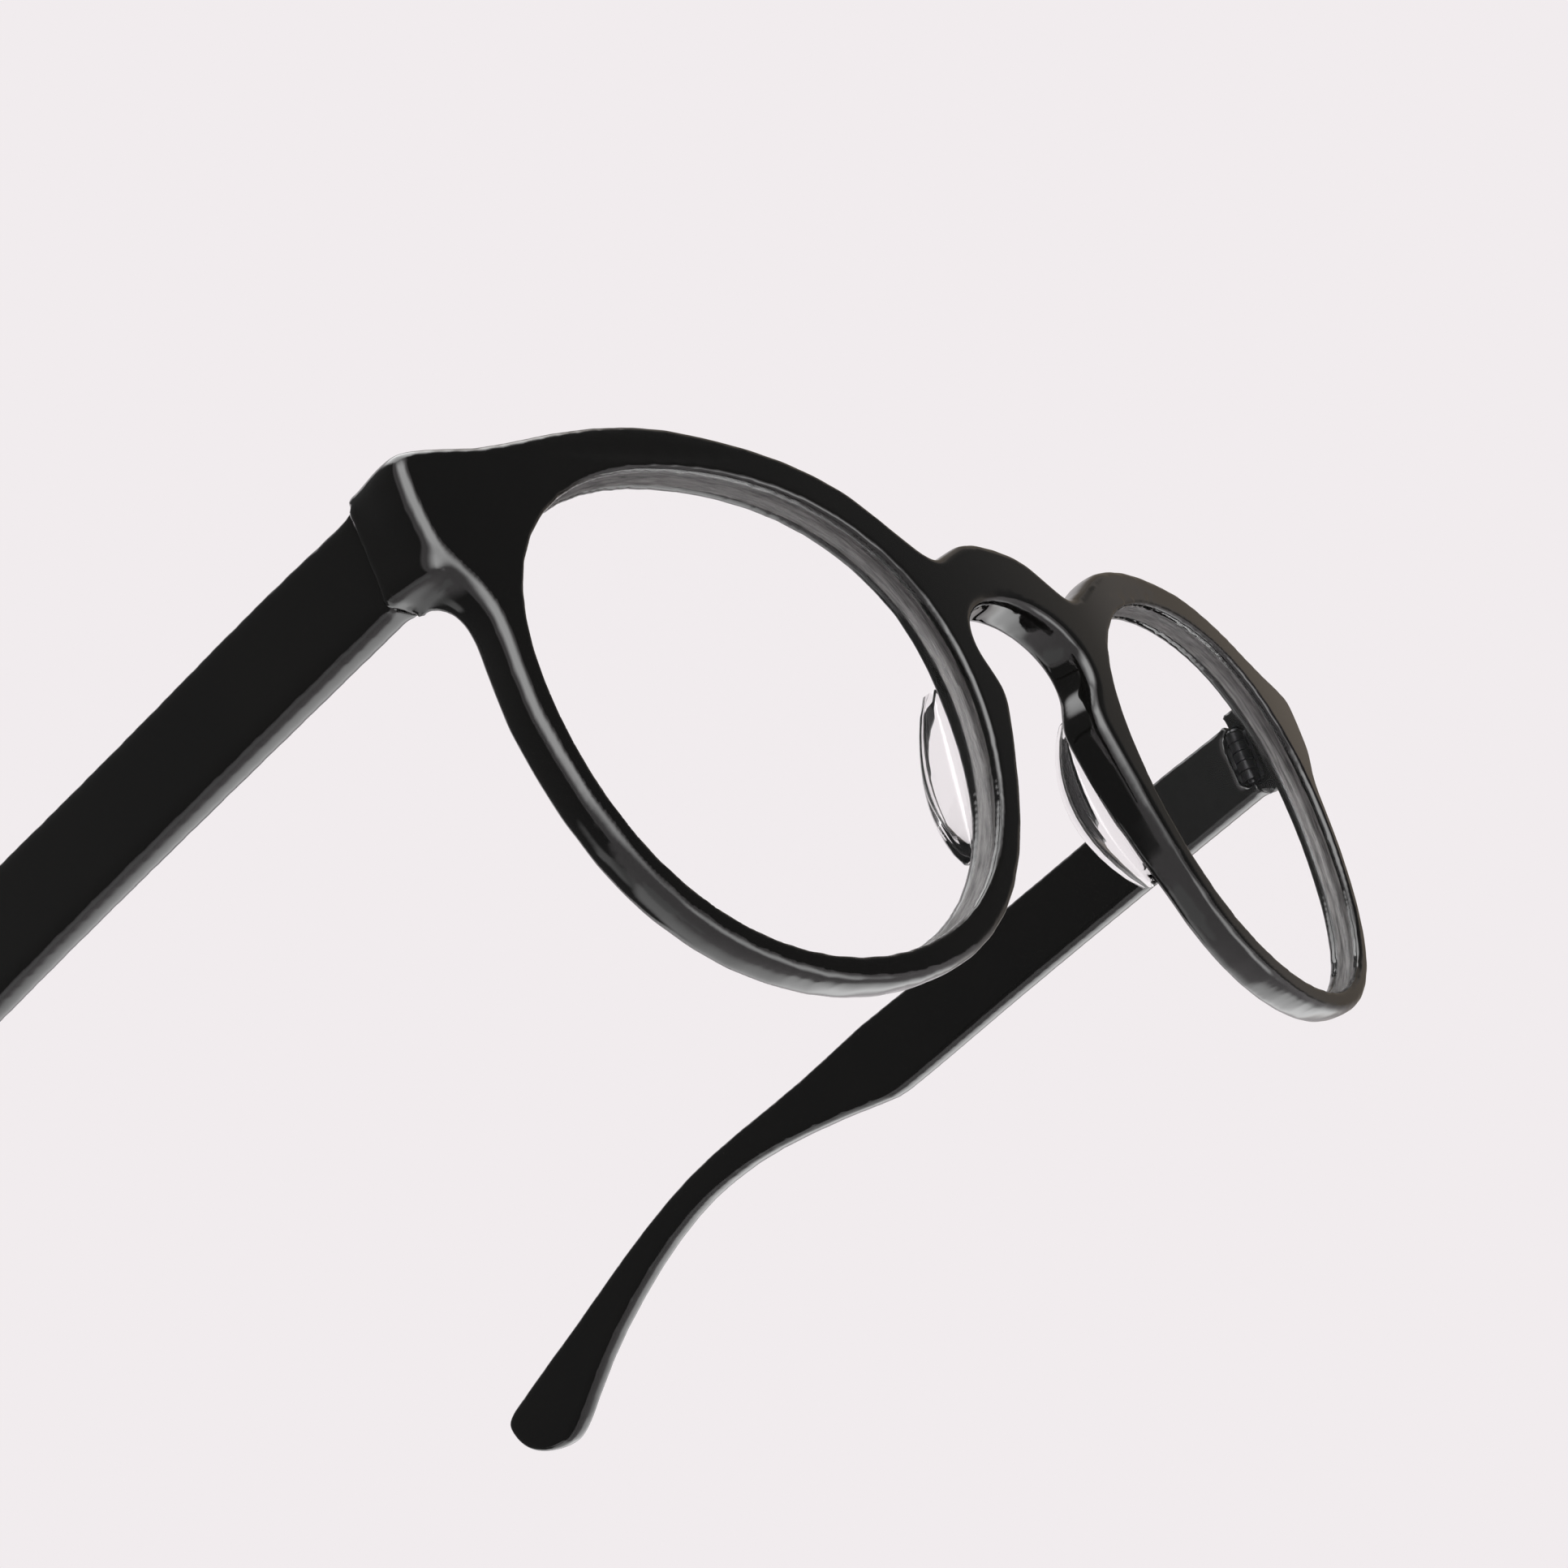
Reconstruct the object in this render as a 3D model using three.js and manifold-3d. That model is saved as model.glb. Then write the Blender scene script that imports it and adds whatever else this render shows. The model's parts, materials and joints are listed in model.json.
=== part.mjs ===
import * as THREE from 'three';
import { mergeVertices } from 'three/addons/utils/BufferGeometryUtils.js';
import Module from 'manifold-3d';

const wasm = await Module();
wasm.setup();

// Round acetate reading glasses with a keyhole bridge, open and standing on rims and temple tips.
// Millimetres. The front faces -Y, the temples run back along +Y, +Z is up, +X is the wearer's left.

// Lens openings and the gap between them
const lensWidth = 46.2;
const lensHeight = 39.8;
const bridgeWidth = 23.8;

// Acetate front: thickness, rim width at the foot of the rim, rounding of its edges
const frontThickness = 3.6;
const bridgeThickness = 4.5;
const rimWidth = 2.3;
const rimRound = 0.8;
const endRoundAcross = 0.7;
const endRoundBack = 2.6;
const lipRound = 0.35;

// The front is formed over a wide barrel shape
const faceFormRadius = 329;
const faceFormUprightRadius = 444;

// Keyhole bridge, heights above the middle of the lenses
const bridgeCrest = 19.5;
const bridgeDip = 16.4;
const bridgeDipHalfWidth = 10.6;
const keyholeTop = 13.7;
const keyholeHalfWidth = 8.9;
const keyholeWidest = 8.7;
const keyholeNeckHalfWidth = 7.15;
const keyholeNeck = 3.6;

// End pieces: how far they reach past the lens openings, and past the temples' outer faces
const endReach = 7.2;
const endOverhang = 1.8;
const endTop = 18;
const endBottom = 8.6;
const endCornerRound = 1.6;
const endLegThickness = 2.8;
const endLegRamp = 2.6;
const endLegDraw = 1.5;
const endDepth = 7.8;
const endShoulderRound = 1.9;
const endShoulderBack = 1.1;

// Lens groove and lens
const grooveDepth = 0.75;
const grooveMouth = 1.5;
const grooveFloor = 0.6;
const lensClearance = 0.2;
const lensEdge = 1.7;
const lensBulge = 0.5;

// Temples
const templeThickness = 2.8;
const templeHeight = 9.3;
const templeReach = 137.1;
const templeDrop = 28.6;
const templeRound = 0.5;
const templeSplay = 3.05;
const hingeHeight = 12.25;
const tipLength = 15.5;
const tipDepth = 13.1;

// Mitre between end piece and temple, and its two slopes
const mitreY = 12.2;
const mitreSlope = 0.05;
const mitreLean = 0.15;
const mitreGap = 0.3;

// Barrel hinge
const barrelRadius = 1;
const knuckleHeight = 1;
const knuckleGap = 0.12;
const knuckleCount = 5;
const hingeInset = 0.2;
const leafThickness = 0.8;
const frontLeafLength = 3.2;
const templeLeafLength = 7.5;
const templeLeafHeight = 4;
const hingeClearance = 0.15;
const screwRadius = 0.45;
const screwHeadRadius = 0.8;
const screwHeadHeight = 0.45;
const screwSlot = 0.22;
const screwTail = 0.3;
const pinClearance = 0.05;

// Metal core of each temple
const coreRadius = 0.65;
const coreClearance = 0.15;
const coreShortfall = 29.1;

// Clear nose pads
const padHeight = 15;
const padMiddle = -1.9;
const padDepth = 4.1;
const padGap = 0.2;
const padInset = 0.2;
const padEndShare = 0.04;
const padRimShare = 1.5;

// Overrun of every cutting body past the face it cuts
const overrun = 4;

// Vertices this close are one, and a vertex this near a scored line lies on it
const weldDistance = 1e-4;
const lineDistance = 1e-6;

const rightAngle = Math.PI / 2;
const lensCentre = (lensWidth + bridgeWidth) / 2;
const frontHalfWidth = lensCentre + lensWidth / 2 + endReach;
const templeOuterX = frontHalfWidth - endOverhang;
const coreReach = templeReach - coreShortfall;
const barrelSides = 12;
const lensSides = 54;
const outlinePoints = 138;
const templePoints = 88;

const acetate = new THREE.MeshStandardMaterial({ color: 0x0d0d0e, roughness: 0.08, metalness: 0 });
const clearAcetate = new THREE.MeshStandardMaterial({
  color: 0xf4f1f0,
  roughness: 0.05,
  metalness: 0,
  transparent: true,
  opacity: 0.25,
});
const lensResin = new THREE.MeshStandardMaterial({
  color: 0xffffff,
  roughness: 0.02,
  metalness: 0,
  transparent: true,
  opacity: 0.12,
});
const darkSteel = new THREE.MeshStandardMaterial({ color: 0x1b1b1d, roughness: 0.35, metalness: 0.9 });
const brightSteel = new THREE.MeshStandardMaterial({ color: 0x9c9ea2, roughness: 0.3, metalness: 1 });

// Outline of a lens opening as a share of its half width and half height. Each row holds the cosine
// and sine shares of one harmonic, so the opening is round with a flatter top and a fuller nose side.
const openingMeanShare = 1.0094;
const openingShares = [
  [0.0047, 0.0266],
  [-0.0019, -0.0137],
  [-0.0039, 0.0268],
  [-0.015, 0.0032],
];

function openingPoint(angle, offset = 0) {
  const at = (turn) => {
    let share = openingMeanShare;
    openingShares.forEach(([cosine, sine], index) => {
      share += cosine * Math.cos((index + 1) * turn) + sine * Math.sin((index + 1) * turn);
    });
    return new THREE.Vector2(
      (share * Math.cos(turn) * lensWidth) / 2,
      (share * Math.sin(turn) * lensHeight) / 2,
    );
  };
  const nudge = 1e-4;
  const point = at(angle);
  const along = at(angle + nudge).sub(at(angle - nudge)).normalize();
  point.x += lensCentre + along.y * offset;
  point.y -= along.x * offset;
  return point;
}

function openingLoop(offset = 0) {
  const points = [];
  for (let i = 0; i < lensSides; i += 1) {
    points.push(openingPoint((2 * Math.PI * i) / lensSides, offset));
  }
  return points;
}

// Rim width round a lens: turn in degrees from the temple side, share of rimWidth
const rimBrowShares = [
  [136, 1.9],
  [125, 1.81],
  [115, 1.7],
  [104, 1.62],
  [92, 1.61],
  [80, 1.7],
  [69, 1.74],
  [58, 1.87],
  [49, 2.2],
];
const rimFootShares = [
  [-4, 1.04],
  [-14, 0.95],
  [-28, 0.92],
  [-44, 0.92],
  [-60, 0.92],
  [-76, 0.94],
  [-90, 1],
  [-105, 1.09],
  [-120, 1.2],
  [-135, 1.24],
  [-150, 1.22],
  [-163, 1.25],
  [-174, 1.42],
];

function rimPoints(rows) {
  return rows.map(([degrees, share]) => openingPoint(THREE.MathUtils.degToRad(degrees), rimWidth * share));
}

// Half of the front's outline at +X, from the crest of the bridge round to the top of the keyhole
function halfOutline() {
  const points = [];
  const crestSteps = 4;
  const crestShare = 1.65;
  for (let i = 0; i <= crestSteps; i += 1) {
    const share = i / crestSteps;
    const fall = (1 - Math.cos(Math.PI * share ** crestShare)) / 2;
    const height = bridgeCrest - (bridgeCrest - bridgeDip) * fall;
    points.push(new THREE.Vector2(bridgeDipHalfWidth * share, height));
  }
  points.push(...rimPoints(rimBrowShares));
  const browEnd = points[points.length - 1];
  const endRun = frontHalfWidth - browEnd.x;
  const browShares = [
    [0.3, 0.45],
    [0.55, 0.2],
    [0.78, 0.02],
  ];
  browShares.forEach(([across, above]) => {
    points.push(new THREE.Vector2(browEnd.x + endRun * across, endTop + (browEnd.y - endTop) * above));
  });
  const cornerShares = [
    [0.68, 0.2],
    [0.2, 0.58],
    [0, 1.25],
  ];
  cornerShares.forEach(([inside, below]) => {
    points.push(new THREE.Vector2(frontHalfWidth - endCornerRound * inside, endTop - endCornerRound * below));
  });
  const rimTop = openingPoint(THREE.MathUtils.degToRad(rimFootShares[0][0]), rimWidth * rimFootShares[0][1]);
  const flankRun = frontHalfWidth - rimTop.x;
  const flankShares = [
    [0.98, 0.56],
    [0.925, 0.35],
    [0.81, 0.12],
    [0.55, -0.07],
    [0.33, -0.2],
    [0.16, -0.35],
    [0.09, -0.57],
  ];
  flankShares.forEach(([across, above]) => {
    points.push(new THREE.Vector2(rimTop.x + flankRun * across, endBottom + (endTop - endBottom) * above));
  });
  points.push(...rimPoints(rimFootShares));
  const bulge = keyholeHalfWidth - keyholeNeckHalfWidth;
  const rise = keyholeWidest - keyholeNeck;
  const neckShares = [
    [0, 0],
    [0.16, 0.3],
    [0.5, 0.52],
    [0.88, 0.76],
    [1, 1],
  ];
  neckShares.forEach(([out, up]) => {
    points.push(new THREE.Vector2(keyholeNeckHalfWidth + bulge * out, keyholeNeck + rise * up));
  });
  const archSteps = 5;
  for (let i = 1; i <= archSteps; i += 1) {
    const turn = (rightAngle * i) / archSteps;
    points.push(new THREE.Vector2(
      keyholeHalfWidth * Math.cos(turn),
      keyholeWidest + (keyholeTop - keyholeWidest) * Math.sin(turn),
    ));
  }
  return points;
}

// Closed smooth curve through a few shape points, sampled closer where it turns more
function smoothLoop(points, count) {
  const curve = new THREE.CatmullRomCurve3(
    points.map((point) => new THREE.Vector3(point.x, point.y, 0)),
    true,
    'centripetal',
  );
  const fineCount = 6000;
  const turnShare = 0.5;
  const fine = curve.getPoints(fineCount)
    .slice(0, fineCount)
    .map((point) => new THREE.Vector2(point.x, point.y));
  const steps = fine.map((point, i) => new THREE.Vector2().subVectors(fine[(i + 1) % fineCount], point));
  const lengths = steps.map((step) => step.length());
  const turns = steps.map((step, i) => {
    const last = steps[(i + fineCount - 1) % fineCount];
    return Math.abs(Math.atan2(last.cross(step), last.dot(step)));
  });
  const sum = (values) => values.reduce((total, value) => total + value, 0);
  const [wholeLength, wholeTurn] = [sum(lengths), sum(turns)];
  const loop = [];
  let walked = 0;
  fine.forEach((point, i) => {
    if (walked * count >= loop.length && loop.length < count) {
      loop.push(point);
    }
    walked += (1 - turnShare) * (lengths[i] / wholeLength) + turnShare * (turns[i] / wholeTurn);
  });
  return loop;
}

function frontOutline(count) {
  const half = halfOutline();
  const mirror = half.slice(1, -1).reverse().map((point) => new THREE.Vector2(-point.x, point.y));
  const loop = smoothLoop([...half, ...mirror], count);
  return THREE.ShapeUtils.isClockWise(loop) ? loop.reverse() : loop;
}

// A moulded slab: every loop carries its own edge rounding. A vertex sits at depth a + b * thickness,
// so the back can follow a depth that varies over the slab.
function moulding(loops) {
  const vertices = [];
  const triangles = [];
  const caps = { face: [], back: [] };
  loops.forEach(({ points, faceRound, backRound, steps }) => {
    const count = points.length;
    const outward = points.map((point, i) => {
      const before = points[(i + count - 1) % count];
      const after = points[(i + 1) % count];
      const along = new THREE.Vector2().subVectors(after, before).normalize();
      return new THREE.Vector2(along.y, -along.x);
    });
    const rings = [];
    const addRing = (turn, b) => {
      rings.push(vertices.length);
      points.forEach((point, i) => {
        const [across, deep] = (b ? backRound : faceRound)(point);
        const inset = across * (1 - Math.sin(turn));
        const depth = deep * (1 - Math.cos(turn));
        vertices.push({
          u: point.x - outward[i].x * inset,
          v: point.y - outward[i].y * inset,
          a: b ? -depth : depth,
          b,
        });
      });
    };
    for (let k = 0; k <= steps; k += 1) {
      addRing((rightAngle * k) / steps, 0);
    }
    for (let k = steps; k >= 0; k -= 1) {
      addRing((rightAngle * k) / steps, 1);
    }
    for (let r = 0; r + 1 < rings.length; r += 1) {
      for (let i = 0; i < count; i += 1) {
        const j = (i + 1) % count;
        triangles.push([rings[r] + i, rings[r + 1] + i, rings[r] + j]);
        triangles.push([rings[r] + j, rings[r + 1] + i, rings[r + 1] + j]);
      }
    }
    caps.face.push({ start: rings[0], count });
    caps.back.push({ start: rings[rings.length - 1], count });
  });
  ['face', 'back'].forEach((side) => {
    const rims = caps[side].map(({ start, count }) => {
      const list = [];
      for (let i = 0; i < count; i += 1) {
        list.push(new THREE.Vector2(vertices[start + i].u, vertices[start + i].v));
      }
      return list;
    });
    const lookup = caps[side].flatMap(({ start, count }) => (
      Array.from({ length: count }, (_, i) => start + i)
    ));
    THREE.ShapeUtils.triangulateShape(rims[0], rims.slice(1)).forEach(([p, q, r]) => {
      const [a, b, c] = [lookup[p], lookup[q], lookup[r]];
      const [A, B, C] = [vertices[a], vertices[b], vertices[c]];
      const turnsLeft = (B.u - A.u) * (C.v - A.v) - (B.v - A.v) * (C.u - A.u) > 0;
      triangles.push(turnsLeft === (side === 'face') ? [a, b, c] : [a, c, b]);
    });
  });
  return { vertices, triangles };
}

// Cuts every triangle that crosses the line u = place, so a change of depth there keeps its shape
function scored(slab, place) {
  const { vertices } = slab;
  const made = new Map();
  const side = (i) => {
    const gap = vertices[i].u - place;
    return Math.abs(gap) < lineDistance ? 0 : Math.sign(gap);
  };
  const crossing = (i, j) => {
    const key = i < j ? `${i}_${j}` : `${j}_${i}`;
    if (!made.has(key)) {
      const [p, q] = i < j ? [vertices[i], vertices[j]] : [vertices[j], vertices[i]];
      const share = (place - p.u) / (q.u - p.u);
      const mix = (name) => p[name] + (q[name] - p[name]) * share;
      vertices.push({ u: place, v: mix('v'), a: mix('a'), b: mix('b') });
      made.set(key, vertices.length - 1);
    }
    return made.get(key);
  };
  const triangles = [];
  slab.triangles.forEach((triangle) => {
    const sides = triangle.map(side);
    if (!sides.includes(1) || !sides.includes(-1)) {
      triangles.push(triangle);
      return;
    }
    const onLine = sides.indexOf(0);
    if (onLine >= 0) {
      const [p, q, r] = [0, 1, 2].map((k) => triangle[(onLine + k) % 3]);
      const m = crossing(q, r);
      triangles.push([p, q, m], [p, m, r]);
      return;
    }
    const lone = sides.findIndex((value) => sides.filter((other) => other === value).length === 1);
    const [p, q, r] = [0, 1, 2].map((k) => triangle[(lone + k) % 3]);
    const m = crossing(p, q);
    const n = crossing(p, r);
    triangles.push([p, m, n], [m, q, r], [m, r, n]);
  });
  return { vertices, triangles };
}

function placed(slab, place) {
  const geometry = new THREE.BufferGeometry();
  const positions = slab.vertices.flatMap((vertex) => place(vertex).toArray());
  geometry.setAttribute('position', new THREE.Float32BufferAttribute(positions, 3));
  geometry.setIndex(slab.triangles.flat());
  return geometry;
}

// Point of the formed front: u across, v up, depth behind the face along the sheet's own normal
function onFront(u, v, depth) {
  const point = new THREE.Vector3(
    u,
    u ** 2 / (2 * faceFormRadius) + v ** 2 / (2 * faceFormUprightRadius),
    v,
  );
  const normal = new THREE.Vector3(-u / faceFormRadius, 1, -v / faceFormUprightRadius).normalize();
  return point.addScaledVector(normal, depth);
}

function toSolid(geometry) {
  const bare = geometry.clone();
  Object.keys(bare.attributes).forEach((name) => {
    if (name !== 'position') {
      bare.deleteAttribute(name);
    }
  });
  const merged = mergeVertices(bare, weldDistance);
  return new wasm.Manifold(new wasm.Mesh({
    numProp: 3,
    vertProperties: new Float32Array(merged.attributes.position.array),
    triVerts: new Uint32Array(merged.index.array),
  }));
}

function toGeometry(solid) {
  const mesh = solid.getMesh();
  const geometry = new THREE.BufferGeometry();
  geometry.setAttribute('position', new THREE.BufferAttribute(new Float32Array(mesh.vertProperties), 3));
  geometry.setIndex(new THREE.BufferAttribute(new Uint32Array(mesh.triVerts), 1));
  return geometry;
}

function mirrored(geometry) {
  const twin = geometry.clone();
  twin.scale(-1, 1, 1);
  const index = twin.index.array;
  for (let i = 0; i < index.length; i += 3) {
    [index[i + 1], index[i + 2]] = [index[i + 2], index[i + 1]];
  }
  return twin;
}

// Round plate that follows a lens opening: rows of [offset from the opening's wall, depth]
function openingPlate(rows, crown) {
  const positions = [];
  const index = [];
  const middle = new THREE.Vector2(lensCentre, 0);
  const put = (point, depth) => positions.push(...onFront(point.x, point.y, depth).toArray());
  put(middle, rows[0][1] - crown);
  rows.forEach(([offset, depth, share = 1]) => {
    openingLoop(offset).forEach((point) => {
      const spot = middle.clone().lerp(point, share);
      put(spot, depth);
    });
  });
  put(middle, rows[rows.length - 1][1] - crown);
  const last = positions.length / 3 - 1;
  for (let i = 0; i < lensSides; i += 1) {
    const j = (i + 1) % lensSides;
    index.push(0, 1 + i, 1 + j);
    for (let r = 0; r + 1 < rows.length; r += 1) {
      const near = 1 + r * lensSides;
      const far = near + lensSides;
      index.push(near + i, far + i, near + j, near + j, far + i, far + j);
    }
    const rim = 1 + (rows.length - 1) * lensSides;
    index.push(last, rim + j, rim + i);
  }
  const geometry = new THREE.BufferGeometry();
  geometry.setAttribute('position', new THREE.Float32BufferAttribute(positions, 3));
  geometry.setIndex(index);
  return geometry;
}

// Frame of the temple: s runs back along the outer face, z up, depth inward
const splay = THREE.MathUtils.degToRad(templeSplay);
const templeBack = new THREE.Vector3(Math.sin(splay), Math.cos(splay), 0);
const templeInward = new THREE.Vector3(-Math.cos(splay), Math.sin(splay), 0);
const templeStart = new THREE.Vector3(templeOuterX, mitreY, hingeHeight);

function onTemple(s, z, depth) {
  return templeStart.clone()
    .addScaledVector(templeBack, s)
    .addScaledVector(templeInward, depth)
    .add(new THREE.Vector3(0, 0, z));
}

// Cutting block behind the mitre (back = 1) or before it (back = -1), reaching half the gap past its plane
function mitreBlock(back) {
  const size = templeReach * 2;
  const block = new THREE.BoxGeometry(size, size, size);
  block.translate(0, (back * size) / 2, 0);
  const normal = new THREE.Vector3(mitreSlope, 1, -mitreLean).normalize();
  block.applyQuaternion(new THREE.Quaternion().setFromUnitVectors(new THREE.Vector3(0, 1, 0), normal));
  const point = templeStart.clone().addScaledVector(normal, (-back * mitreGap) / 2);
  block.translate(point.x, point.y, point.z);
  return toSolid(block);
}

// Temple outline: distance from the mitre as a share of the reach, fall of the middle line as a
// share of the drop, and height as a share of the temple's height
const templeShares = [
  [-0.03, -0.025, 0.925],
  [0, 0, 0.936],
  [0.081, 0.064, 0.982],
  [0.195, 0.165, 0.985],
  [0.297, 0.254, 1.013],
  [0.363, 0.311, 1.059],
  [0.399, 0.341, 1.078],
  [0.425, 0.361, 1.084],
  [0.443, 0.368, 1.033],
  [0.472, 0.377, 0.891],
  [0.508, 0.392, 0.745],
  [0.552, 0.408, 0.6],
  [0.596, 0.428, 0.512],
  [0.632, 0.454, 0.48],
  [0.665, 0.487, 0.468],
  [0.698, 0.534, 0.485],
  [0.742, 0.616, 0.53],
  [0.786, 0.716, 0.618],
  [0.837, 0.849, 0.766],
  [0.886, 0.998, 1.032],
];
const tipShares = [
  [0.26, 0.13],
  [0.53, 0.27],
  [0.79, 0.41],
  [0.93, 0.49],
  [1, 0.575],
  [0.985, 0.67],
  [0.91, 0.81],
  [0.77, 0.93],
  [0.55, 1],
  [0.31, 0.99],
  [0.13, 0.87],
];

function templeMiddle(share) {
  const next = templeShares.findIndex(([along]) => along > share);
  const [a0, f0] = templeShares[next - 1];
  const [a1, f1] = templeShares[next];
  return -templeDrop * (f0 + ((f1 - f0) * (share - a0)) / (a1 - a0));
}

function templeOutline(count) {
  const top = templeShares.map(([along, fall, height]) => new THREE.Vector2(
    templeReach * along,
    -templeDrop * fall + (templeHeight * height) / 2,
  ));
  const under = templeShares.map(([along, fall, height]) => new THREE.Vector2(
    templeReach * along,
    -templeDrop * fall - (templeHeight * height) / 2,
  ));
  const heel = top[top.length - 1];
  const tip = tipShares.map(([along, fall]) => new THREE.Vector2(
    heel.x + tipLength * along,
    heel.y - tipDepth * fall,
  ));
  const loop = smoothLoop([...top, ...tip, ...under.reverse()], count);
  return THREE.ShapeUtils.isClockWise(loop) ? loop.reverse() : loop;
}

const templeTilt = Math.atan2(-templeMiddle(templeLeafLength / templeReach), templeLeafLength);

const hingeAxis = onTemple(0, 0, templeThickness - hingeInset);
hingeAxis.y = mitreY + mitreSlope * (templeOuterX - hingeAxis.x);
const barrelHeight = knuckleCount * knuckleHeight + (knuckleCount - 1) * knuckleGap;

function column(radius, foot, height) {
  const cylinder = new THREE.CylinderGeometry(radius, radius, height, barrelSides);
  cylinder.rotateX(rightAngle);
  cylinder.translate(hingeAxis.x, hingeAxis.y, foot + height / 2);
  return toSolid(cylinder);
}

// Leaf beside the barrel, running forward (-1) into the end piece or back (1) into the temple
function leafPlate(direction, length, height, grow = 0) {
  const plate = new THREE.BoxGeometry(leafThickness + 2 * grow, length + grow, height + 2 * grow);
  plate.translate(barrelRadius - leafThickness / 2, (direction * (length + grow)) / 2, 0);
  if (direction > 0) {
    plate.rotateX(-templeTilt);
    plate.rotateZ(-splay);
  }
  plate.translate(hingeAxis.x, hingeAxis.y, hingeHeight);
  return toSolid(plate);
}

const barrelFoot = hingeHeight - barrelHeight / 2;
const barrelTop = barrelFoot + barrelHeight;

// Column that runs past both ends of the barrel, for cutting
function throughColumn(radius) {
  return column(radius, barrelFoot - overrun, barrelHeight + 2 * overrun);
}

// One leaf with its knuckles: the front leaf holds the even ones, the temple leaf the odd ones between
function hingeLeaf(direction, length, height, parity) {
  const plate = leafPlate(direction, length, height);
  const web = leafPlate(direction, 2 * barrelRadius, height);
  let leaf = plate.subtract(throughColumn(barrelRadius + hingeClearance));
  for (let k = parity; k < knuckleCount; k += 2) {
    const foot = barrelFoot + k * (knuckleHeight + knuckleGap);
    const slice = column(barrelRadius * 2, foot, knuckleHeight);
    leaf = leaf.add(column(barrelRadius, foot, knuckleHeight)).add(web.intersect(slice));
  }
  return leaf.subtract(throughColumn(screwRadius + pinClearance));
}

function hingeScrew() {
  const seat = barrelTop + pinClearance;
  const top = seat + screwHeadHeight;
  const profile = [
    [0, barrelFoot - screwTail],
    [screwRadius, barrelFoot - screwTail],
    [screwRadius, seat],
    [screwHeadRadius, seat],
    [screwHeadRadius, seat + screwHeadHeight / 2],
    [(screwHeadRadius + screwRadius) / 2, top],
    [0, top],
  ].map(([radius, height]) => new THREE.Vector2(radius, height));
  const body = new THREE.LatheGeometry(profile, barrelSides);
  body.rotateX(rightAngle);
  body.translate(hingeAxis.x, hingeAxis.y, 0);
  const slot = new THREE.BoxGeometry(2 * screwHeadRadius + overrun, screwSlot, screwHeadHeight);
  slot.translate(hingeAxis.x, hingeAxis.y, top);
  return toSolid(body).subtract(toSolid(slot));
}

// Room for the barrel with its screw, and the slot that holds one leaf
function hingeRoom(direction, length, height) {
  const foot = barrelFoot - screwTail - hingeClearance;
  const top = barrelTop + pinClearance + screwHeadHeight + hingeClearance;
  return column(barrelRadius + 2 * hingeClearance, foot, top - foot)
    .add(leafPlate(direction, length, height, hingeClearance));
}

// Depth of the front behind its face: plain in the rims, growing into the leg that carries the hinge
const legInner = (templeOuterX - endLegThickness) / (1 - endDepth / faceFormRadius);
const bridgeFade = bridgeWidth / 2 + rimWidth;
const rampShares = [1, 0.7, 0.44, 0.22, 0.06, 0];
const drawShares = [0.5];

// Below the leg the ramp draws out towards the rim's side. The bridge is a little thicker too.
function frontDepth(u, v) {
  const low = 1 - THREE.MathUtils.smoothstep(v, endBottom - 2 * endLegRamp, endBottom + endLegRamp);
  const run = THREE.MathUtils.clamp((legInner + endLegDraw * low - Math.abs(u)) / endLegRamp, 0, 1);
  const rise = 1 - Math.sqrt(1 - (1 - run) ** 2);
  const bridge = 1 - THREE.MathUtils.smoothstep(Math.abs(u), keyholeHalfWidth, bridgeFade);
  return frontThickness + (endDepth - frontThickness) * rise + (bridgeThickness - frontThickness) * bridge;
}

// Rounding of the face's edge, which deepens round the end pieces
function frontEdge(point) {
  const share = THREE.MathUtils.smoothstep(Math.abs(point.x), templeOuterX - endLegRamp, templeOuterX);
  return [rimRound + (endRoundAcross - rimRound) * share, rimRound + (endRoundBack - rimRound) * share];
}

// Rounds the end piece down to the temple's top at the mitre
function shoulderCutter() {
  const shoulder = mitreY + endShoulderBack;
  const back = shoulder + overrun;
  const corner = new THREE.Shape();
  const foot = endTop - endShoulderRound;
  const span = 4 * overrun;
  corner.moveTo(shoulder, foot);
  corner.absarc(shoulder - endShoulderRound, foot, endShoulderRound, 0, rightAngle, false);
  corner.lineTo(shoulder - endShoulderRound, endTop + overrun);
  corner.lineTo(back, endTop + overrun);
  corner.lineTo(back, foot);
  const cutter = new THREE.ExtrudeGeometry(corner, { depth: span, curveSegments: 6, bevelEnabled: false });
  cutter.rotateY(rightAngle);
  cutter.rotateX(rightAngle);
  cutter.translate(frontHalfWidth + overrun - span, 0, 0);
  return toSolid(cutter);
}

function twinOf(solid) {
  return toSolid(mirrored(toGeometry(solid)));
}

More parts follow.
